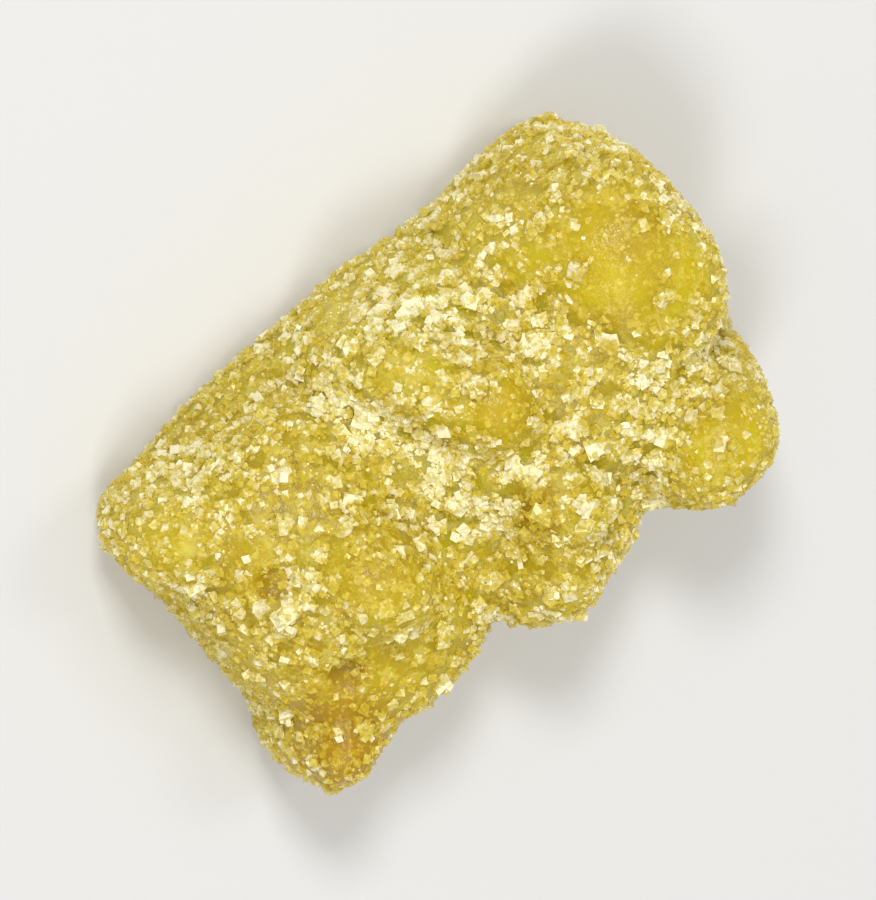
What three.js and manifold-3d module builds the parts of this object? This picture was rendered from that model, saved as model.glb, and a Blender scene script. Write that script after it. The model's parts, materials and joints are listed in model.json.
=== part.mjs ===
// A sour gummy bear: one cast piece of fruit jelly with coarse sour sugar stuck all over it.
// Millimetres, +Z up. It lies on its flat poured back with its face up and its head towards +Y.
// The origin is under the middle of the back.

import * as THREE from 'three';
import { mergeVertices } from 'three/addons/utils/BufferGeometryUtils.js';
import Module from 'manifold-3d';

// The jelly without its sugar. The creases at the neck and the waist part its three sections.
const jellyLength = 21.7;
const jellyWidth = 13;
const jellyDepth = 9.6;
const headWidth = 11.9;
const headLength = 8.9;
const armLength = 5.8;
const footLead = 1.5; // the left foot reaches this much lower than the right
const backEdge = 0.7; // how softly the flat back turns into the side walls
const backSpare = 0.05; // cut away again, to leave the back truly flat

const crown = jellyLength / 2;
const neck = crown - headLength;
const waist = neck - armLength;
const soles = -jellyLength / 2;
const legLength = waist - soles;
const limbReach = jellyWidth / 2;
const headReach = headWidth / 2;

// The sugar: the largest grains are solid here, the finer coat lies between them.
const grainCount = 120;
const largestGrain = 0.95;
const smallestGrain = 0.6;
const grainSpacing = 1.45;
const grainSunk = 0.2; // share of a grain's size by which its middle lies inside the jelly
const grainFloorGap = 0.12;
const grainOverrun = 1.2; // the grains' rays start this far past the core's ends, for the ends' share
const grainEndTurn = 1.5; // and turn this fast towards the ends
const cornerLoss = 0.35; // at most this share of a grain's half size is knocked off each corner
const sugarReach = 0.22; // how far the sugar may stand out past the jelly's own box

// The skin is a capsule's grid, pushed out from a flat oval core until it meets the bear's surface.
const coreHeight = 1.9;
const coreReach = 3.8;
const coreLength = 13.2;
const raySqueeze = 0.6; // crowds the rays towards the face, which holds most of the relief
const rowsRound = 66;
const rowsAlong = 26;
const rowsInCap = 14;

// Every lobe is a rounded block: its middle, its half sizes, how square it is (2 is an ellipsoid),
// how softly it runs into the lobes before it, and its turn in degrees seen from the front.
// A paired lobe stands on both sides of the middle.
const headLobes = [
  {
    part: 'skull', square: 3.6, blend: 0.5, at: [0, neck + 0.455 * headLength, 2.4],
    half: [headReach - 0.1, 0.455 * headLength, 4.7],
  },
  {
    part: 'brow and cheeks', square: 2.3, blend: 0.9, at: [0, neck + 0.46 * headLength, 4.4],
    half: [0.8 * headReach, 0.42 * headLength, 3.8],
  },
  {
    part: 'snout', square: 2.2, blend: 0.8, at: [0, neck + 0.36 * headLength, 6.6],
    half: [2.3, 1.95, jellyDepth - 6.6],
  },
  {
    part: 'nose', square: 2.2, blend: 0.35, at: [0, neck + 0.45 * headLength, 8.85],
    half: [0.8, 0.6, 0.75],
  },
  {
    part: 'ear', paired: true, square: 2.3, blend: 0.9, at: [headReach - 1.35, crown - 1.65, 3.2],
    half: [1.65, 1.65, 3.6],
  },
];

const bodyLobes = [
  {
    part: 'trunk', square: 3.4, blend: 0.5, at: [0, neck - 4, 2.4],
    half: [0.85 * limbReach, 7.4, 4.4],
  },
  {
    part: 'back slab', square: 3.6, blend: 0.7, at: [0, 0.65, 0.6],
    half: [limbReach - 0.2, jellyLength / 2 - 1.3, 3.2],
  },
  {
    part: 'belly', square: 2.2, blend: 0.7, at: [0, waist - 0.9, 4.3],
    half: [3.9, 3.5, 4.3],
  },
  {
    part: 'chest', square: 2.2, blend: 0.7, at: [0, neck - 0.55 * armLength, 4.8],
    half: [2.7, 2.7, 3.3],
  },
  {
    part: 'seat', square: 2.2, blend: 0.7, at: [-1.6, soles + 4.1, 3.9],
    half: [2.6, 2.3, 3.5],
  },
  {
    part: 'shoulder', paired: true, square: 2.4, blend: 0.6,
    at: [limbReach - 1.95, neck - 0.45 * armLength, 2.6],
    half: [1.95, 0.56 * armLength, 4],
  },
  {
    part: 'arm', paired: true, square: 2.3, blend: 0.9, turn: 30,
    at: [3.7, neck - 0.42 * armLength, 4.4],
    half: [2.9, 1.75, 4],
  },
  {
    part: 'paw', paired: true, square: 2.3, blend: 0.7, at: [2.2, neck - 0.58 * armLength, 6.4],
    half: [1.75, 1.65, 3],
  },
  {
    part: 'hip', paired: true, square: 2.5, blend: 0.6,
    at: [limbReach - 2.4, waist - 0.45 * legLength, 2.8],
    half: [2.4, 0.45 * legLength, 4.3],
  },
  {
    part: 'left heel', square: 2.6, blend: 0.6, at: [1.9, soles + 3.1, 1.6],
    half: [4.1, 2.9, 4],
  },
  {
    part: 'left foot', square: 2.6, blend: 0.8, at: [2.1, soles + 2.95, 5.2],
    half: [3.8, 2.95, 4],
  },
  {
    part: 'right heel', square: 2.6, blend: 0.6, at: [-4.3, soles + footLead + 2.6, 1.6],
    half: [2.2, 2.5, 4],
  },
  {
    part: 'right foot', square: 2.4, blend: 0.7, at: [-4.3, soles + footLead + 2.5, 5.2],
    half: [2.1, 2.5, 3.9],
  },
];
const neckBlend = 0.55;
const middleBlend = 0.45; // how softly the two of a pair meet in the middle

// Small hollows in the face, on either side of the snout.
const eye = { aside: 2.1, up: crown - 2.9, out: 7.7, radius: 0.8, blend: 0.3 };

// It set a little askew: the bear bends sideways, and its soles slant.
const sideBend = 0.15;
const bendRate = 0.28;
const soleSlant = 0.06;

function blockDistance(x, y, z, { at, half, square, paired, turn = 0 }) {
  const angle = THREE.MathUtils.degToRad(turn);
  const dx = (paired ? Math.hypot(x, middleBlend) : x) - at[0];
  const dy = y - at[1];
  const a = Math.abs(dx * Math.cos(angle) + dy * Math.sin(angle)) / half[0];
  const b = Math.abs(dy * Math.cos(angle) - dx * Math.sin(angle)) / half[1];
  const c = Math.abs(z - at[2]) / half[2];
  const size = Math.max((a ** square + b ** square + c ** square) ** (1 / square), 1e-6);
  const slope = Math.hypot(
    a ** (square - 1) / half[0],
    b ** (square - 1) / half[1],
    c ** (square - 1) / half[2],
  );
  return (size - 1) * size ** (square - 1) / Math.max(slope, 1e-9);
}

function softMin(a, b, reach) {
  const overlap = Math.max(reach - Math.abs(a - b), 0) / reach;
  return Math.min(a, b) - overlap * overlap * reach / 4;
}

function joinLobes(x, y, z, lobes) {
  let distance = blockDistance(x, y, z, lobes[0]);
  for (const lobe of lobes.slice(1)) {
    distance = softMin(distance, blockDistance(x, y, z, lobe), lobe.blend);
  }
  return distance;
}

// A soft cast piece is never quite true: slow waves, under a tenth of a millimetre high.
function unevenness(x, y, z) {
  const slow = 0.07 * Math.sin(1.1 * x + 0.6 * y + 0.4) * Math.sin(0.9 * y - 0.7 * z + 1.3);
  const quick = 0.03 * Math.sin(2.3 * x - 1.9 * z) * Math.sin(2.1 * y + 0.8);
  return slow + quick;
}

// Negative inside the jelly, zero on its surface.
function jelly(trueX, trueY, z) {
  const x = trueX - sideBend * Math.sin(bendRate * trueY);
  const y = trueY + soleSlant * trueX * Math.max(-trueY, 0) / crown;
  const bear = softMin(joinLobes(x, y, z, headLobes), joinLobes(x, y, z, bodyLobes), neckBlend);
  const hollow = Math.hypot(Math.abs(x) - eye.aside, y - eye.up, z - eye.out) - eye.radius;
  const withEyes = -softMin(-bear, hollow, eye.blend);
  return -softMin(-withEyes - unevenness(x, y, z), z + backSpare, backEdge);
}

function outwardAt(x, y, z) {
  const step = 0.02;
  return new THREE.Vector3(
    jelly(x + step, y, z) - jelly(x - step, y, z),
    jelly(x, y + step, z) - jelly(x, y - step, z),
    jelly(x, y, z + step) - jelly(x, y, z - step),
  ).normalize();
}

// Where the ray that starts in the core, the way that the given capsule normal says, comes out.
function surfaceFrom(startY, normal) {
  const start = new THREE.Vector3(coreReach * normal.x, startY, coreHeight);
  const direction = new THREE.Vector3(raySqueeze * normal.x, normal.y, normal.z).normalize();
  const at = (reach) => start.clone().addScaledVector(direction, reach);
  const stride = 0.25;
  let outside = stride;
  while (jelly(...at(outside)) < 0) outside += stride;
  let inside = outside - stride;
  for (let halving = 0; halving < 16; halving += 1) {
    const middle = (inside + outside) / 2;
    if (jelly(...at(middle)) < 0) inside = middle;
    else outside = middle;
  }
  return at(outside);
}

function positionsOnly(geometry) {
  geometry.deleteAttribute('normal');
  geometry.deleteAttribute('uv');
  return mergeVertices(geometry, 1e-5);
}

// A capsule's faces are pairs of triangles. Each pair is parted along its shorter diagonal, so
// that a ridge that runs across the grid stays even.
function partAlongShorterDiagonals(skin) {
  const position = skin.getAttribute('position');
  const corner = (i) => new THREE.Vector3().fromBufferAttribute(position, i);
  const index = skin.index.array;
  for (let i = 0; i < index.length; i += 6) {
    const [a, b, c, , d] = index.slice(i, i + 6);
    const isFace = a !== b && c !== d;
    if (isFace && corner(a).distanceTo(corner(d)) < corner(b).distanceTo(corner(c))) {
      index.set([a, b, d, a, d, c], i);
    }
  }
}

function jellySkin() {
  const skin = positionsOnly(
    new THREE.CapsuleGeometry(1, coreLength, rowsInCap, rowsRound, rowsAlong),
  );
  const position = skin.getAttribute('position');
  for (let i = 0; i < position.count; i += 1) {
    const y = position.getY(i);
    const startY = THREE.MathUtils.clamp(y, -coreLength / 2, coreLength / 2);
    const normal = new THREE.Vector3(position.getX(i), y - startY, position.getZ(i));
    position.setXYZ(i, ...surfaceFrom(startY, normal.normalize()));
  }
  partAlongShorterDiagonals(skin);
  return skin;
}

const wasm = await Module();
wasm.setup();

function toSolid(geometry) {
  const corners = geometry.index.array;
  const triVerts = [];
  for (let i = 0; i < corners.length; i += 3) {
    const [a, b, c] = corners.slice(i, i + 3);
    if (a !== b && b !== c && c !== a) triVerts.push(a, b, c);
  }
  return new wasm.Manifold(new wasm.Mesh({
    numProp: 3,
    vertProperties: Float32Array.from(geometry.getAttribute('position').array),
    triVerts: Uint32Array.from(triVerts),
  }));
}

function toGeometry(solid) {
  const mesh = solid.getMesh();
  const geometry = new THREE.BufferGeometry();
  geometry.setAttribute('position', new THREE.BufferAttribute(mesh.vertProperties, 3));
  geometry.setIndex(new THREE.BufferAttribute(mesh.triVerts, 1));
  geometry.computeVertexNormals();
  return geometry;
}

function seededRandom(seed) {
  let state = seed;
  return () => {
    state = (state * 1664525 + 1013904223) % 4294967296;
    return state / 4294967296;
  };
}

// A broken crystal: a block with its corners knocked about, sunk into the jelly where it stuck.
function sugarGrain(place, size, random) {
  const sides = [1, 0.7 + 0.3 * random(), 0.55 + 0.3 * random()].map((share) => share * size);
  const crystal = positionsOnly(new THREE.BoxGeometry(...sides));
  const position = crystal.getAttribute('position');
  const corner = new THREE.Vector3();
  for (let i = 0; i < position.count; i += 1) {
    corner.fromBufferAttribute(position, i);
    const [x, y, z] = [random(), random(), random()].map((loss) => 1 - cornerLoss * loss);
    corner.multiply(new THREE.Vector3(x, y, z));
    position.setXYZ(i, ...corner);
  }
  const turn = new THREE.Euler(2 * Math.PI * random(), Math.PI * random(), 2 * Math.PI * random());
  const middle = place.clone().addScaledVector(outwardAt(...place), -grainSunk * size);
  crystal.applyMatrix4(new THREE.Matrix4().makeRotationFromEuler(turn).setPosition(middle));
  crystal.computeBoundingBox();
  return crystal;
}

// Grains, largest first, each clear of the ones before it, of the floor and of the stated box.
function sugarGrains() {
  const random = seededRandom(4120);
  const room = new THREE.Box3(
    new THREE.Vector3(-limbReach - sugarReach, soles - sugarReach, grainFloorGap),
    new THREE.Vector3(limbReach + sugarReach, crown + sugarReach, jellyDepth + sugarReach),
  );
  const places = [];
  const grains = [];
  while (grains.length < grainCount) {
    const size = THREE.MathUtils.lerp(largestGrain, smallestGrain, grains.length / grainCount);
    const y = (random() - 0.5) * (coreLength + 2 * grainOverrun);
    const startY = THREE.MathUtils.clamp(y, -coreLength / 2, coreLength / 2);
    const round = 2 * Math.PI * random();
    const normal = new THREE.Vector3(Math.cos(round), grainEndTurn * (y - startY), Math.sin(round));
    const place = surfaceFrom(startY, normal.normalize());
    const grain = sugarGrain(place, size, random);
    const crowded = places.some((other) => other.distanceTo(place) < grainSpacing);
    if (!crowded && room.containsBox(grain.boundingBox)) {
      places.push(place);
      grains.push(grain);
    }
  }
  return grains;
}

const lemonJelly = new THREE.MeshStandardMaterial({ color: 0xdcbe3c, roughness: 0.45, metalness: 0 });

function gummyBear() {
  const underBack = new THREE.BoxGeometry(2 * jellyWidth, 2 * jellyLength, jellyDepth);
  underBack.translate(0, 0, -jellyDepth / 2);
  let bear = toSolid(jellySkin()).subtract(toSolid(positionsOnly(underBack)));
  for (const grain of sugarGrains()) bear = bear.add(toSolid(grain));
  const mesh = new THREE.Mesh(toGeometry(bear), lemonJelly);
  mesh.name = 'gummy_bear';
  return mesh;
}

const group = new THREE.Group();
group.add(gummyBear());

export default group;
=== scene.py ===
# A yellow sour gummy bear on its flat back: translucent lemon jelly under a coat of sour sugar.
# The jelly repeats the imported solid's own formulas on a finer grid, and its largest sugar lumps
# sit where the solid has them. The rest of the sugar is faceted crystals in several sizes, which
# lie thicker in creases and on ridges, and thin on a few smooth patches. The form is worked out
# in millimetres and handed to Blender in metres.

import json
import math

import bpy
import numpy as np
from mathutils import Euler, Matrix, Vector

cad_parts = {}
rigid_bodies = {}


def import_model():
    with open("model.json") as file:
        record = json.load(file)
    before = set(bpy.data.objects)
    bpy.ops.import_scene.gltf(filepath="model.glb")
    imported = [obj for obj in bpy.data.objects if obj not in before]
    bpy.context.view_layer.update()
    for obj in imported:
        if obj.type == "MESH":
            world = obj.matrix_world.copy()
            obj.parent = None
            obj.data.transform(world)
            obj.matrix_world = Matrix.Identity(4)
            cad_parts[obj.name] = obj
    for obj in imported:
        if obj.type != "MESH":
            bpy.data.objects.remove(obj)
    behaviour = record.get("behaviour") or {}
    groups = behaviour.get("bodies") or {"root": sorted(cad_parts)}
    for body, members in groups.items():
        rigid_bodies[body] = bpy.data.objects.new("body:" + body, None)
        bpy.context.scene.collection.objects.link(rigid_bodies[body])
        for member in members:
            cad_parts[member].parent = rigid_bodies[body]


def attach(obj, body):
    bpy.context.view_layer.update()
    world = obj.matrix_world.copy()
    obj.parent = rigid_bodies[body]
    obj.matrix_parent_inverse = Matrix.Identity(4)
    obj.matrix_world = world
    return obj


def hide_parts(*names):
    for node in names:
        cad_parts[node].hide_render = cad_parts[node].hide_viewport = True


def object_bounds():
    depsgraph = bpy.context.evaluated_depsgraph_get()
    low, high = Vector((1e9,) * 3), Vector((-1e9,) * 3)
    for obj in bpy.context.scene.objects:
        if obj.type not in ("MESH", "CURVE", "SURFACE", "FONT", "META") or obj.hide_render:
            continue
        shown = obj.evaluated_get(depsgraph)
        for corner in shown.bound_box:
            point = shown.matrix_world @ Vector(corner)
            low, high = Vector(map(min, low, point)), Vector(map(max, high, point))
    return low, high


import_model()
cadLow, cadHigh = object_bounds()
mm = 0.001

# The bear's own sizes, in mm. The creases at the neck and the waist part its three sections.
bear = {
    "length": 21.7,
    "width": 13,
    "depth": 9.6,
    "headWidth": 11.9,
    "headLength": 8.9,
    "armLength": 5.8,
    "footLead": 1.5,      # the left foot reaches this much lower than the right
    "backEdge": 0.7,      # how softly the flat back turns into the side walls
    "backSpare": 0.05,
    "backLift": 0.04,     # the jelly's back stands this high, on the sugar pressed into it
    "neckBlend": 0.55,
    "middleBlend": 0.45,  # how softly the two of a pair meet in the middle
    "sideBend": 0.15,     # it set a little askew
    "bendRate": 0.28,     # radians of that bend for each mm of its length
    "soleSlant": 0.06,
    "slowSwell": 0.07,    # how uneven the surface is, in wide waves and in narrow ones
    "quickSwell": 0.03,
}
crown = bear["length"] / 2
soles = -crown
neck = crown - bear["headLength"]
waist = neck - bear["armLength"]
legLength = waist - soles
limbReach = bear["width"] / 2
headReach = bear["headWidth"] / 2


def lobe(square, blend, at, half, paired=False, turn=0):
    # a rounded block: middle, half sizes, squareness (2 is an ellipsoid), softness of its join
    return {"square": square, "blend": blend, "at": at, "half": half, "paired": paired, "turn": turn}


headLobes = [
    lobe(3.6, 0.5, (0, neck + 0.455 * bear["headLength"], 2.4),
         (headReach - 0.1, 0.455 * bear["headLength"], 4.7)),                        # skull
    lobe(2.3, 0.9, (0, neck + 0.46 * bear["headLength"], 4.4),
         (0.8 * headReach, 0.42 * bear["headLength"], 3.8)),                         # cheeks
    lobe(2.2, 0.8, (0, neck + 0.36 * bear["headLength"], 6.6),
         (2.3, 1.95, bear["depth"] - 6.6)),                                          # snout
    lobe(2.2, 0.35, (0, neck + 0.45 * bear["headLength"], 8.85), (0.8, 0.6, 0.75)),  # nose
    lobe(2.3, 0.9, (headReach - 1.35, crown - 1.65, 3.2), (1.65, 1.65, 3.6), paired=True),  # ears
]
bodyLobes = [
    lobe(3.4, 0.5, (0, neck - 4, 2.4), (0.85 * limbReach, 7.4, 4.4)),                # trunk
    lobe(3.6, 0.7, (0, 0.65, 0.6), (limbReach - 0.2, bear["length"] / 2 - 1.3, 3.2)),  # back slab
    lobe(2.2, 0.7, (0, waist - 0.9, 4.3), (3.9, 3.5, 4.3)),                          # belly
    lobe(2.2, 0.7, (0, neck - 0.55 * bear["armLength"], 4.8), (2.7, 2.7, 3.3)),      # chest
    lobe(2.2, 0.7, (-1.6, soles + 4.1, 3.9), (2.6, 2.3, 3.5)),                       # seat
    lobe(2.4, 0.6, (limbReach - 1.95, neck - 0.45 * bear["armLength"], 2.6),
         (1.95, 0.56 * bear["armLength"], 4), paired=True),                          # shoulders
    lobe(2.3, 0.9, (3.7, neck - 0.42 * bear["armLength"], 4.4), (2.9, 1.75, 4),
         paired=True, turn=30),                                                      # arms
    lobe(2.3, 0.7, (2.2, neck - 0.58 * bear["armLength"], 6.4), (1.75, 1.65, 3), paired=True),  # paws
    lobe(2.5, 0.6, (limbReach - 2.4, waist - 0.45 * legLength, 2.8),
         (2.4, 0.45 * legLength, 4.3), paired=True),                                 # hips
    lobe(2.6, 0.6, (1.9, soles + 3.1, 1.6), (4.1, 2.9, 4)),                          # left heel
    lobe(2.6, 0.8, (2.1, soles + 2.95, 5.2), (3.8, 2.95, 4)),                        # left foot
    lobe(2.6, 0.6, (-4.3, soles + bear["footLead"] + 2.6, 1.6), (2.2, 2.5, 4)),      # right heel
    lobe(2.4, 0.7, (-4.3, soles + bear["footLead"] + 2.5, 5.2), (2.1, 2.5, 3.9)),    # right foot
]
eye = {"aside": 2.1, "up": crown - 2.9, "out": 7.7, "radius": 0.8, "blend": 0.3}


def lobeDistance(x, y, z, part):
    # about how far outside one rounded block a point is, and less than zero inside
    angle = math.radians(part["turn"])
    (midX, midY, midZ), (halfX, halfY, halfZ), square = part["at"], part["half"], part["square"]
    dx = (np.hypot(x, bear["middleBlend"]) if part["paired"] else x) - midX
    dy = y - midY
    a = np.abs(dx * math.cos(angle) + dy * math.sin(angle)) / halfX
    b = np.abs(dy * math.cos(angle) - dx * math.sin(angle)) / halfY
    c = np.abs(z - midZ) / halfZ
    a1, b1, c1 = a ** (square - 1), b ** (square - 1), c ** (square - 1)
    size = np.maximum((a * a1 + b * b1 + c * c1) ** (1 / square), 1e-6)
    slope = np.sqrt((a1 / halfX) ** 2 + (b1 / halfY) ** 2 + (c1 / halfZ) ** 2)
    return (size - 1) * size ** (square - 1) / np.maximum(slope, 1e-9)


def softMin(a, b, reach):
    # the smaller of two distances, rounded where they are nearly the same
    overlap = np.maximum(reach - np.abs(a - b), 0) / reach
    return np.minimum(a, b) - overlap * overlap * reach / 4


def joinLobes(x, y, z, lobes):
    distance = lobeDistance(x, y, z, lobes[0])
    for part in lobes[1:]:
        distance = softMin(distance, lobeDistance(x, y, z, part), part["blend"])
    return distance


def unevenness(x, y, z):
    # two sets of crossing waves, in radians for each mm
    slow = bear["slowSwell"] * np.sin(1.1 * x + 0.6 * y + 0.4) * np.sin(0.9 * y - 0.7 * z + 1.3)
    return slow + bear["quickSwell"] * np.sin(2.3 * x - 1.9 * z) * np.sin(2.1 * y + 0.8)


def jelly(points):
    # negative inside the jelly, zero on its surface
    trueX, trueY, z = points[..., 0], points[..., 1], points[..., 2]
    x = trueX - bear["sideBend"] * np.sin(bear["bendRate"] * trueY)
    y = trueY + bear["soleSlant"] * trueX * np.maximum(-trueY, 0) / crown
    whole = softMin(joinLobes(x, y, z, headLobes), joinLobes(x, y, z, bodyLobes), bear["neckBlend"])
    hollow = np.sqrt((np.abs(x) - eye["aside"]) ** 2 + (y - eye["up"]) ** 2 + (z - eye["out"]) ** 2)
    withEyes = -softMin(-whole, hollow - eye["radius"], eye["blend"])
    return -softMin(-withEyes - unevenness(x, y, z), z + bear["backSpare"], bear["backEdge"])


def outwardAt(points):
    step = 0.02
    slopes = [jelly(points + step * axis) - jelly(points - step * axis) for axis in np.eye(3)]
    outward = np.stack(slopes, axis=-1)
    return outward / np.linalg.norm(outward, axis=-1, keepdims=True)


# The skin is a capsule's grid, pushed out from a flat oval core until it meets the surface.
skin = {
    "coreHeight": 1.9,
    "coreReach": 3.8,
    "coreLength": 13.2,
    "raySqueeze": 0.6,
    "rowsRound": 284,
    "rowsAlong": 150,
    "rowsInCap": 92,
    "firstReach": 1.25,   # mm, the first point that is tried on each ray
    "stride": 0.25,       # mm of each step outwards from there
    "halvings": 13,       # how often the last step is then halved
    "flatWithin": 0.005,  # this close to the back, a point faces straight down
}


def surfaceFrom(startY, normals):
    starts = np.stack([
        skin["coreReach"] * normals[:, 0], startY, np.full(len(startY), skin["coreHeight"]),
    ], axis=-1)
    rays = normals * (skin["raySqueeze"], 1, 1)
    rays /= np.linalg.norm(rays, axis=1, keepdims=True)
    outside = np.full(len(startY), skin["firstReach"])
    inPlay = np.arange(len(startY))
    while len(inPlay):
        inPlay = inPlay[jelly(starts[inPlay] + rays[inPlay] * outside[inPlay, None]) < 0]
        outside[inPlay] += skin["stride"]
    inside = outside - skin["stride"]
    for _ in range(skin["halvings"]):
        middle = (inside + outside) / 2
        isInside = jelly(starts + rays * middle[:, None]) < 0
        inside = np.where(isInside, middle, inside)
        outside = np.where(isInside, outside, middle)
    return starts + rays * outside[:, None]


def skinGrid():
    capTurn = np.linspace(math.pi / 2, 0, skin["rowsInCap"], endpoint=False)
    halfCore = skin["coreLength"] / 2
    startY = np.concatenate([
        np.full(skin["rowsInCap"], halfCore),
        np.linspace(halfCore, -halfCore, skin["rowsAlong"]),
        np.full(skin["rowsInCap"], -halfCore),
    ])
    rise = np.concatenate([capTurn, np.zeros(skin["rowsAlong"]), -capTurn[::-1]])
    turn = np.arange(skin["rowsRound"]) * 2 * math.pi / skin["rowsRound"]
    startY, rise = startY[1:-1, None], rise[1:-1, None]  # the poles come by themselves
    normals = np.stack(np.broadcast_arrays(
        np.cos(rise) * np.cos(turn), np.sin(rise), np.cos(rise) * np.sin(turn),
    ), axis=-1)
    rows = len(startY)
    poles = np.array([[0, 1.0, 0], [0, -1.0, 0]])
    startY = np.concatenate([np.repeat(startY[:, 0], skin["rowsRound"]), [halfCore, -halfCore]])
    return rows, startY, np.concatenate([normals.reshape(-1, 3), poles])


def skinFaces(rows):
    around = skin["rowsRound"]
    index = np.arange(rows * around).reshape(rows, around)
    following = np.roll(index, -1, axis=1)
    quads = np.stack([index[:-1], index[1:], following[1:], following[:-1]], axis=-1).reshape(-1, 4)
    top, bottom = rows * around, rows * around + 1
    topFan = [(top, a, b) for a, b in zip(index[0].tolist(), following[0].tolist())]
    bottomFan = [(bottom, b, a) for a, b in zip(index[-1].tolist(), following[-1].tolist())]
    return quads.tolist() + topFan + bottomFan


def makePiece(name, points, faces, smooth):
    mesh = bpy.data.meshes.new(name)
    mesh.from_pydata((points * mm).tolist(), [], faces)
    mesh.update()
    mesh.validate()
    mesh.polygons.foreach_set("use_smooth", [smooth] * len(mesh.polygons))
    piece = bpy.data.objects.new(name, mesh)
    bpy.context.scene.collection.objects.link(piece)
    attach(piece, "root")
    return piece


def addValues(piece, name, values, domain):
    piece.data.attributes.new(name, "FLOAT", domain).data.foreach_set("value", values)


rows, skinStarts, skinNormals = skinGrid()
skinPoints = surfaceFrom(skinStarts, skinNormals)
skinPoints[:, 2] = np.maximum(skinPoints[:, 2], bear["backLift"])
skinOutward = outwardAt(skinPoints)
skinOutward[skinPoints[:, 2] < bear["backLift"] + skin["flatWithin"]] = (0, 0, -1)
jellyBody = makePiece("jelly_body", skinPoints, skinFaces(rows), smooth=True)
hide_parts("gummy_bear")
print("jelly body:", len(skinPoints), "points")

# Where sugar gathers: in creases and on ridges, less on smooth fronts and bare patches.
coat = {
    "even": 0.7,          # how thick it lies where nothing else counts
    "crease": 1.2,
    "ridge": 0.9,
    "patchiness": 0.25,
    "patchSize": 5,       # mm from one thick place to the next
    "creaseReach": 0.9,   # mm out of the surface, where a crease's other wall is felt
    "ridgeReach": 1.1,    # mm into the jelly
    "ridgeFrom": 0.05,    # a flatter ridge than this has no more sugar
    "sharpest": 0.6,      # a sharper crease or ridge than this counts as this
    "least": 0.2,
    "most": 2.7,
    "clusterSize": 0.85,  # mm from one cluster of crystals to the next
    "clustering": 0.9,
    "whitening": 0.24,    # how much whiter the crystals are where they lie thick
    "seed": 4120,
}
# Each patch has its middle and radius in mm, how much more sugar it has than elsewhere, or less
# below 0, and how ochre its jelly is.
coatPatches = [
    ((2.4, soles + 2.6, 9.2), 2.3, -0.7, 0),     # front of the left foot
    ((4.6, soles + 3.4, 8.6), 1.9, -0.65, 0),
    ((2.0, neck - 3.6, 9.4), 1.4, -0.75, 0.3),   # middle of the left paw
    ((-1.6, neck - 2.4, 8.4), 1.1, -0.8, 0.9),   # beside the right paw
    ((-3.4, soles + 4, 9.0), 1.2, -0.5, 0),      # front of the right foot
    ((0, crown - 3.8, 8), 4.2, -0.3, 0.2),       # the whole face
    ((-1.2, crown - 0.7, 6), 2.0, -0.25, 0.1),   # front of the crown
    ((-3.0, crown - 2.0, 7.2), 2.2, -0.4, 0.2),  # brow over the right eye
    ((-4.6, crown - 1.6, 5.6), 2.4, -0.7, 0.7),  # right ear; its thinner sugar and ochre jelly are partly painted shade from neighbouring bears, partly a real thinner coat
    ((3.4, crown - 2.4, 7.2), 1.1, -0.55, 0.2),  # beside the left eye
    ((3.6, crown - 3.9, 6.6), 1.2, -0.4, 0),     # left cheek
    ((-5.1, neck - 2.8, 4.5), 2.0, -0.35, 0.1),  # right arm
    ((-eye["aside"], eye["up"], 7.1), 0.75, -0.5, 0.2),  # eye hollows
    ((eye["aside"], eye["up"], 7.1), 0.75, -0.5, 0.2),
    ((4.2, neck - 0.1, 6.2), 1.0, 1.2, 0),       # neck crease, from its left end to its right
    ((2.6, neck - 0.7, 6.8), 1.0, 1.8, 0),
    ((1.6, neck - 1.6, 7.4), 0.9, 1.6, 0),
    ((0.4, neck - 0.6, 7.0), 1.0, 1.8, 0),
    ((-1.2, neck - 1.5, 7.0), 1.0, 2.2, 0),
    ((1.8, crown - 3.5, 7.7), 0.9, 1.6, 0),      # between the left eye and the snout
    ((2.7, waist - 0.5, 8.0), 1.1, 2.4, 0),      # under the left paw
    ((0, neck - 2.8, 8.2), 0.8, 1.2, 0),         # between the paws
    ((-0.2, neck - 5, 8.2), 0.8, 1.2, 0),
    ((5.6, waist + 1.4, 5.4), 2.8, 0.7, 0),      # left flank
    ((5.8, neck - 0.9, 5), 2.0, 0.5, 0),
    ((6.2, crown - 3.4, 3.8), 1.3, 0.6, 0),      # left ear
    ((2.2, soles + 0.5, 7.6), 1.4, 0.6, 0),      # rim of the left foot
]
chance = np.random.default_rng(coat["seed"])


def randomWaves(count, wavelength):
    # crossing waves, mostly between -1 and 1
    ways = chance.normal(size=(3, count))
    ways *= 2 * math.pi / wavelength / np.linalg.norm(ways, axis=0)
    phases = chance.uniform(0, 2 * math.pi, count)

    def height(points):
        return np.sin(points @ ways + phases).sum(axis=-1) / math.sqrt(count)

    return height


patchWaves = randomWaves(count=9, wavelength=coat["patchSize"])
clusterWaves = randomWaves(count=14, wavelength=coat["clusterSize"])


def patchShare(points, middle, radius):
    # 1 within half the radius, falling to 0 at a third more than the radius
    distance = np.linalg.norm(points - np.array(middle), axis=-1)
    return np.clip(1.6 - 1.2 * distance / radius, 0, 1)


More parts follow.
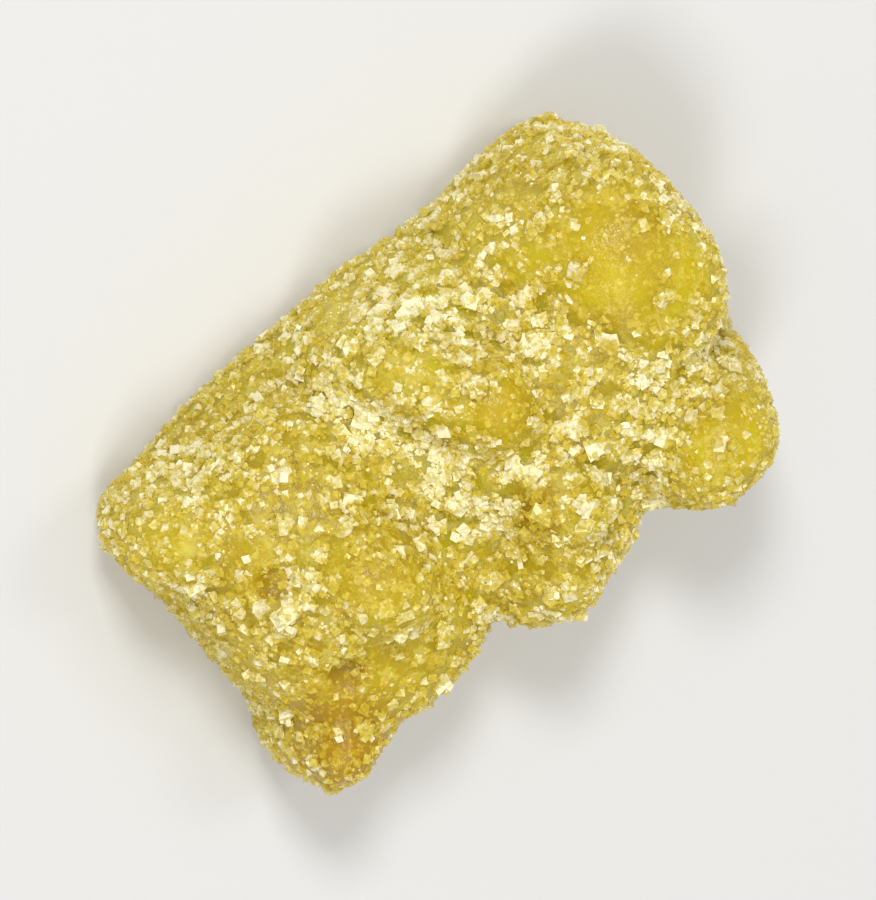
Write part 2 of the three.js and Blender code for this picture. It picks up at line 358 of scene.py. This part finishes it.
def coatDensity(points, outward):
    crease = 1 - jelly(points + coat["creaseReach"] * outward) / coat["creaseReach"]
    ridge = 1 + jelly(points - coat["ridgeReach"] * outward) / coat["ridgeReach"]
    density = coat["even"] + coat["crease"] * np.clip(crease, 0, coat["sharpest"])
    density += coat["ridge"] * np.clip(ridge - coat["ridgeFrom"], 0, coat["sharpest"])
    density += coat["patchiness"] * patchWaves(points)
    density *= 1 + coat["clustering"] * clusterWaves(points)
    for middle, radius, extra, _ in coatPatches:
        density *= 1 + extra * patchShare(points, middle, radius)
    return np.clip(density, coat["least"], coat["most"])


skinDensity = coatDensity(skinPoints, skinOutward)
addValues(jellyBody, "frost", skinDensity, "POINT")
skinOchre = sum(
    ochre * patchShare(skinPoints, middle, radius) for middle, radius, _, ochre in coatPatches
)
addValues(jellyBody, "ochre", np.clip(skinOchre, 0, 1), "POINT")

# Sugar crystals: blocks with their corners knocked about, all of one kind joined in one mesh.
boxCorners = np.array([
    (1, 1, 1), (1, 1, -1), (1, -1, 1), (1, -1, -1), (-1, 1, -1), (-1, 1, 1), (-1, -1, -1), (-1, -1, 1),
]) / 2
boxFaces = np.array([
    (0, 2, 3, 1), (4, 6, 7, 5), (5, 0, 1, 4), (7, 6, 3, 2), (5, 7, 2, 0), (4, 1, 3, 6),
])
crystal = {
    "widths": (0.7, 1),     # of its length
    "heights": (0.6, 0.95),
    "knocked": 0.35,        # how far its corners are knocked in, of its sides
    "smallMore": 1.6,       # above 1, small crystals are more common than large ones
    "pastBox": 0.05,        # mm that one may stand out of the solid's box
    "floorGap": 0.004,
    "buriedBelow": 0.05,    # mm; one wholly lower than this is left out
    "frosted": 0.7,         # how milky one may be as a whole
    # a painted reflection: any one face is painted whiter by up to this beyond its crystal, as if it
    # caught the light
    "faceGlintPaint": 0.4,
    "clearMore": 2,         # above 1, clear ones are more common than milky ones
    # above 1, faces without the painted reflection are more common than faces with it
    "glintlessFacesMore": 1.5,
}


def skinPlaces(count):
    # random places on the jelly's surface, with the way out there
    grid = np.arange(rows * skin["rowsRound"]).reshape(rows, skin["rowsRound"])
    a, b = grid[:-1].ravel(), grid[1:].ravel()
    c = np.roll(grid, -1, axis=1)[1:].ravel()
    sideways, onwards = skinPoints[b] - skinPoints[a], skinPoints[c] - skinPoints[b]
    shares = np.linalg.norm(np.cross(sideways, onwards), axis=1) * skinDensity[a]
    picked = chance.choice(len(a), count, p=shares / shares.sum())
    along, across = chance.random((2, count, 1))
    points = skinPoints[a[picked]] + along * sideways[picked] + across * onwards[picked]
    return points, skinOutward[a[picked]]


def randomTurns(count):
    # turning matrices, every way round as likely
    turns = chance.normal(size=(4, count))
    w, x, y, z = turns / np.linalg.norm(turns, axis=0)
    return np.stack([
        np.stack([1 - 2 * (y * y + z * z), 2 * (x * y - z * w), 2 * (x * z + y * w)], -1),
        np.stack([2 * (x * y + z * w), 1 - 2 * (x * x + z * z), 2 * (y * z - x * w)], -1),
        np.stack([2 * (x * z - y * w), 2 * (y * z + x * w), 1 - 2 * (x * x + y * y)], -1),
    ], -2)


def crystalPiece(name, corners, whiter=0):
    # eight corners for each crystal; one that would stand out of the solid's box is left out
    low = np.array(cadLow) / mm - crystal["pastBox"]
    high = np.array(cadHigh) / mm + crystal["pastBox"]
    low[2] = -1  # the floor cuts the lowest ones off flat instead
    inBox = ((corners > low) & (corners < high)).all(axis=(1, 2))
    corners = corners[inBox & (corners[..., 2].max(axis=1) > crystal["buriedBelow"])]
    corners[..., 2] = np.maximum(corners[..., 2], crystal["floorGap"])
    faces = (boxFaces[None] + 8 * np.arange(len(corners))[:, None, None]).reshape(-1, 4)
    piece = makePiece(name, corners.reshape(-1, 3), faces.tolist(), smooth=False)
    middles = corners.mean(axis=1)
    thick = coatDensity(middles, outwardAt(middles)) - coat["even"]
    frosting = crystal["frosted"] * chance.random(len(corners)) ** crystal["clearMore"]
    frosting = frosting + whiter + coat["whitening"] * thick
    # each face gets a painted reflection on top of its crystal's milkiness, a random whitening as if
    # some faces caught the light
    paintedFaceGlints = crystal["faceGlintPaint"] * chance.random((len(corners), 6)) ** crystal["glintlessFacesMore"]
    addValues(piece, "tint", np.clip(frosting[:, None] + paintedFaceGlints, 0, 1).ravel(), "FACE")
    print(name + ":", len(corners), "crystals")
    return piece


def looseCrystals(places, smallest, largest, knocked):
    count = len(places)
    sizes = smallest + (largest - smallest) * chance.random(count) ** crystal["smallMore"]
    sides = sizes[:, None] * np.stack([
        np.ones(count),
        chance.uniform(*crystal["widths"], count),
        chance.uniform(*crystal["heights"], count),
    ], axis=-1)
    corners = boxCorners * sides[:, None] * (1 - knocked * chance.random((count, 8, 3)))
    return np.einsum("nij,nkj->nki", randomTurns(count), corners) + places[:, None]


def scatteredCrystals(count, smallest, largest, sunk):
    places, outward = skinPlaces(count)
    return looseCrystals(places - outward * sunk, smallest, largest, crystal["knocked"])


# The largest grains are the solid's own: its random sequence is repeated, so they sit as packed.
lumps = {
    "seed": 4120,
    "count": 120,
    "largest": 0.95,
    "smallest": 0.6,
    "spacing": 1.45,
    "sunk": 0.2,          # share of its size below the surface
    "narrowest": 0.7,     # of its length
    "flattest": 0.55,
    "sidesVary": 0.3,
    "knocked": 0.35,
    "reach": 0.22,        # mm past the jelly's box that one may stand out
    "lowest": 0.12,
    "pastCore": 2.4,      # mm of the length where a ray starts at an end of the core
    "endRise": 1.5,       # how steeply such a ray leans outwards
    "whiter": 0.3,
    "drawsEach": 31,      # two for its place, two its sides, 24 its corners, three how it turns
    "drawsTried": 2000,
    "multiplier": 1664525,
    "increment": 1013904223,
    "modulus": 4294967296,
}
clumps = {
    "grainsEach": 18,
    "smallest": 0.2,
    "largest": 0.4,
    "knocked": 0.3,
    "reach": 0.45,        # how far from the lump's middle, of its size
    "whiter": 0.15,
}


def lumpDraws():
    # the solid's own random numbers, a row of them for each place that is tried
    state, draws = lumps["seed"], []
    for _ in range(lumps["drawsEach"] * lumps["drawsTried"]):
        state = (state * lumps["multiplier"] + lumps["increment"]) % lumps["modulus"]
        draws.append(state / lumps["modulus"])
    return np.array(draws).reshape(-1, lumps["drawsEach"])


def lumpCorners():
    draws = lumpDraws()
    y = (draws[:, 0] - 0.5) * (skin["coreLength"] + lumps["pastCore"])
    startY = np.clip(y, -skin["coreLength"] / 2, skin["coreLength"] / 2)
    around = 2 * math.pi * draws[:, 1]
    normals = np.stack([np.cos(around), lumps["endRise"] * (y - startY), np.sin(around)], axis=-1)
    places = surfaceFrom(startY, normals / np.linalg.norm(normals, axis=1, keepdims=True))
    outward = outwardAt(places)
    low = np.array((-limbReach - lumps["reach"], soles - lumps["reach"], lumps["lowest"]))
    high = np.array((limbReach, crown, bear["depth"])) + lumps["reach"]
    kept, corners = [], []
    for draw, place, out in zip(draws, places, outward):
        size = lumps["largest"] + (lumps["smallest"] - lumps["largest"]) * len(kept) / lumps["count"]
        width = lumps["narrowest"] + lumps["sidesVary"] * draw[2]
        height = lumps["flattest"] + lumps["sidesVary"] * draw[3]
        turn = Euler((2 * math.pi * draw[28], math.pi * draw[29], 2 * math.pi * draw[30])).to_matrix()
        block = boxCorners * (size * np.array((1, width, height)))
        block = block * (1 - lumps["knocked"] * draw[4:28].reshape(8, 3))
        block = block @ np.array(turn).T + place - lumps["sunk"] * size * out
        crowded = any(np.linalg.norm(place - other) < lumps["spacing"] for other in kept)
        if not crowded and (block > low).all() and (block < high).all():
            kept.append(place)
            corners.append(block)
        if len(kept) == lumps["count"]:
            return np.array(corners)


def clumpCorners(blocks):
    # small crystals stuck round each lump
    middles = np.repeat(blocks.mean(axis=1), clumps["grainsEach"], axis=0)
    reach = np.repeat(np.ptp(blocks, axis=1).mean(axis=1), clumps["grainsEach"]) * clumps["reach"]
    ways = chance.normal(size=middles.shape)
    ways /= np.linalg.norm(ways, axis=1, keepdims=True)
    places = middles + ways * reach[:, None]
    return looseCrystals(places, clumps["smallest"], clumps["largest"], clumps["knocked"])


sugarKinds = {  # how many, smallest and largest size and how deep it sits, in mm
    "sugar_coarse": {"count": 1000, "smallest": 0.4, "largest": 0.58, "sunk": 0.06},
    "sugar_medium": {"count": 8500, "smallest": 0.26, "largest": 0.4, "sunk": 0.03},
    "sugar_fine": {"count": 15500, "smallest": 0.15, "largest": 0.26, "sunk": 0.02},
    "sugar_dust": {"count": 14000, "smallest": 0.07, "largest": 0.14, "sunk": 0},
}
lumpBlocks = lumpCorners()
sugarPieces = [crystalPiece("sugar_lumps", lumpBlocks, lumps["whiter"])]
sugarPieces += [crystalPiece("sugar_clumps", clumpCorners(lumpBlocks), clumps["whiter"])]
sugarPieces += [crystalPiece(name, scatteredCrystals(**kind)) for name, kind in sugarKinds.items()]


class Wire:
    # a value in a material; sums, differences and products of wires add Math nodes
    def __init__(self, finish, socket):
        self.finish, self.socket = finish, socket

    def maths(self, operation, first, second):
        return self.finish.node("ShaderNodeMath", {"operation": operation}, {0: first, 1: second})

    def __add__(self, other):
        return self.maths("ADD", self, other)

    def __sub__(self, other):
        return self.maths("SUBTRACT", self, other)

    def __rsub__(self, other):
        return self.maths("SUBTRACT", other, self)

    def __mul__(self, other):
        return self.maths("MULTIPLY", self, other)

    __radd__ = __add__
    __rmul__ = __mul__


class Finish:
    # a material under construction
    def __init__(self, name):
        self.material = bpy.data.materials.new(name)
        self.material.use_nodes = True
        self.tree = self.material.node_tree
        self.tree.nodes.clear()

    def node(self, kind, settings=None, inputs=None, output=0):
        made = self.tree.nodes.new(kind)
        for key, value in (settings or {}).items():
            if key == "stops":
                self.setStops(made.color_ramp, value)
            else:
                setattr(made, key, value)
        for key, value in (inputs or {}).items():
            if isinstance(value, Wire):
                self.tree.links.new(value.socket, made.inputs[key])
            elif value is not None:
                made.inputs[key].default_value = value
        return Wire(self, made.outputs[output]) if made.outputs else None

    def setStops(self, ramp, stops):
        while len(ramp.elements) < len(stops):
            ramp.elements.new(1)
        for element, (place, colour) in zip(ramp.elements, stops):
            element.position, element.color = place, (*colour, 1)

    def place(self):
        return self.node("ShaderNodeTexCoord", output="Object")

    def noise(self, size, detail=2, roughness=0.5):
        inputs = {"Vector": self.place(), "Scale": 1 / (size * mm)}
        inputs |= {"Detail": detail, "Roughness": roughness}
        return self.node("ShaderNodeTexNoise", None, inputs)

    def rampUp(self, value, low, high):
        inputs = {"Value": value, "From Min": low, "From Max": high}
        return self.node("ShaderNodeMapRange", {"interpolation_type": "SMOOTHSTEP"}, inputs)

    def mix(self, share, first, second):
        def full(colour):
            return colour if isinstance(colour, Wire) else (*colour, 1)

        inputs = {0: share, 6: full(first), 7: full(second)}  # the node's own sockets for colours
        return self.node("ShaderNodeMix", {"data_type": "RGBA"}, inputs, 2)

    def bump(self, height, strength, distance):
        inputs = {"Height": height, "Strength": strength, "Distance": distance * mm}
        return self.node("ShaderNodeBump", None, inputs)

    def shade(self, **inputs):
        named = {key.replace("_", " "): value for key, value in inputs.items()}
        shader = self.node("ShaderNodeBsdfPrincipled", None, named)
        self.node("ShaderNodeOutputMaterial", None, {"Surface": shader})
        return self.material


lemon = {
    "deep": (0.52, 0.37, 0.004),
    "bright": (0.65, 0.515, 0.007),
    "ochre": (0.40, 0.19, 0.002),
    "frosted": (0.82, 0.67, 0.10),
    "swirlSize": 3.2,           # mm, of deep and bright jelly
    "swirlBand": (0.35, 0.65),
    "ochreMost": 0.8,
    "grainSize": 0.22,          # mm, of the finest sugar that is only painted
    "grainPull": 0.35,          # how much more of it shows where the coat is thick
    "grainBand": (0.58, 0.85),
    "grainMost": 0.8,
    "dimpleSize": 0.7,
    "dimples": 0.5,
    "relief": 0.12,
    "roughness": (0.3, 0.35),   # of bare jelly, and how much more where it is frosted
    "glow": 0.9,                # share of the light that spreads inside the jelly
    "glowScale": 2.5,           # how far it goes in mm, times the reach of each colour
    "glowReach": (1.0, 0.85, 0.12),
}


def lemonJelly():
    finish = Finish("lemon_jelly")
    frost = finish.node("ShaderNodeAttribute", {"attribute_name": "frost"}, output="Fac")
    ochre = finish.node("ShaderNodeAttribute", {"attribute_name": "ochre"}, output="Fac")
    swirl = finish.rampUp(finish.noise(lemon["swirlSize"]), *lemon["swirlBand"])
    grain = finish.noise(lemon["grainSize"], roughness=0.6)
    frosting = finish.rampUp(grain + lemon["grainPull"] * frost, *lemon["grainBand"])
    colour = finish.mix(swirl, lemon["deep"], lemon["bright"])
    colour = finish.mix(lemon["ochreMost"] * ochre, colour, lemon["ochre"])
    colour = finish.mix(lemon["grainMost"] * frosting, colour, lemon["frosted"])
    height = grain + lemon["dimples"] * finish.noise(lemon["dimpleSize"])
    bare, frosted = lemon["roughness"]
    return finish.shade(
        Base_Color=colour,
        Roughness=bare + frosted * frosting,
        Normal=finish.bump(height, strength=0.5, distance=lemon["relief"]),
        IOR=1.45,
        Subsurface_Weight=lemon["glow"],
        Subsurface_Radius=lemon["glowReach"],
        Subsurface_Scale=lemon["glowScale"] * mm,
    )


sugarLook = {
    "shades": [(0, (0.78, 0.60, 0.02)), (0.5, (0.88, 0.73, 0.095)), (0.9, (0.98, 0.92, 0.59))],
    "clearest": 0.28,     # how solid a clear face looks, and how much more a frosted one does
    "frosting": 0.7,
    "cloudSize": 0.14,    # mm, of the milky clouds inside a crystal
    "cloudiness": 1.0,
    "roughness": (0.12, 0.3),
    "relief": 0.02,
}


def sourSugar():
    finish = Finish("sour_sugar")
    tint = finish.node("ShaderNodeAttribute", {"attribute_name": "tint"}, output="Fac")
    clouds = finish.noise(sugarLook["cloudSize"], detail=1)
    tint = tint + sugarLook["cloudiness"] * (clouds - 0.5)
    clear, milky = sugarLook["roughness"]
    return finish.shade(
        Base_Color=finish.node("ShaderNodeValToRGB", {"stops": sugarLook["shades"]}, {"Fac": tint}),
        Roughness=clear + milky * tint,
        Normal=finish.bump(clouds, strength=0.5, distance=sugarLook["relief"]),
        Alpha=sugarLook["clearest"] + sugarLook["frosting"] * tint,
        IOR=1.55,
    )


jellyBody.data.materials.append(lemonJelly())
sugarMaterial = sourSugar()
for piece in sugarPieces:
    piece.data.materials.append(sugarMaterial)
print("materials made")

# Photograph stand: a white floor, soft light and a long lens, nearly straight above the bear. Its
# lengths are in metres.
stand = {
    "floorSize": 0.6,
    "floorColour": (0.74, 0.74, 0.74),
    "sky": 0.46,
    "skyColour": (1, 0.975, 0.93),
    "cameraFrom": (0.375, 0.11, 0.92),  # the way from the bear to the camera
    "headTurn": 221,                    # degrees in the picture, anticlockwise from its right
    "distance": 0.6,
    "frameWidth": 0.0292,               # what the picture's width takes in
    "aim": (0.0007, 0.0004, 0.0042),
    "nearest": 0.01,
    "farthest": 10,
}
lamps = [  # name, where it stands, size, watts
    ("key", (0.22, -0.05, 0.30), 0.08, 0.62),
    ("fill", (-0.06, 0.17, 0.33), 0.10, 0.42),
    ("glint", (0.0, -0.19, 0.34), 0.10, 0.15),
]


def setStand():
    finish = Finish("white_floor")
    half = stand["floorSize"] / 2
    corners = [(-half, -half, 0), (half, -half, 0), (half, half, 0), (-half, half, 0)]
    mesh = bpy.data.meshes.new("floor")
    mesh.from_pydata(corners, [], [(0, 1, 2, 3)])
    floor = bpy.data.objects.new("floor", mesh)
    bpy.context.scene.collection.objects.link(floor)
    floor.data.materials.append(finish.shade(Base_Color=(*stand["floorColour"], 1), Roughness=0.8))
    world = bpy.data.worlds.new("studio")
    world.use_nodes = True
    background = world.node_tree.nodes["Background"]
    background.inputs["Color"].default_value = (*stand["skyColour"], 1)
    background.inputs["Strength"].default_value = stand["sky"]
    bpy.context.scene.world = world
    bpy.context.scene.view_settings.view_transform = "Standard"


def setLamps():
    for name, place, size, power in lamps:
        light = bpy.data.lights.new(name, "AREA")
        light.size, light.energy = size, power
        lamp = bpy.data.objects.new(name, light)
        lamp.location = place
        lamp.rotation_euler = (-Vector(place)).to_track_quat("-Z", "Y").to_euler()
        bpy.context.scene.collection.objects.link(lamp)


def setCamera():
    back = Vector(stand["cameraFrom"]).normalized()
    headWay = (Vector((0, 1, 0)) - back.y * back).normalized()
    right = Matrix.Rotation(-math.radians(stand["headTurn"]), 3, back) @ headWay
    up = back.cross(right)
    lens = bpy.data.cameras.new("camera")
    lens.sensor_fit = "HORIZONTAL"
    lens.lens = lens.sensor_width * stand["distance"] / stand["frameWidth"]
    lens.clip_start, lens.clip_end = stand["nearest"], stand["farthest"]
    camera = bpy.data.objects.new("camera", lens)
    turn = Matrix((right, up, back)).transposed().to_4x4()
    camera.matrix_world = Matrix.Translation(Vector(stand["aim"]) + back * stand["distance"]) @ turn
    bpy.context.scene.collection.objects.link(camera)
    bpy.context.scene.camera = camera


setStand()
setLamps()
setCamera()
print("stand, lamps and camera set")
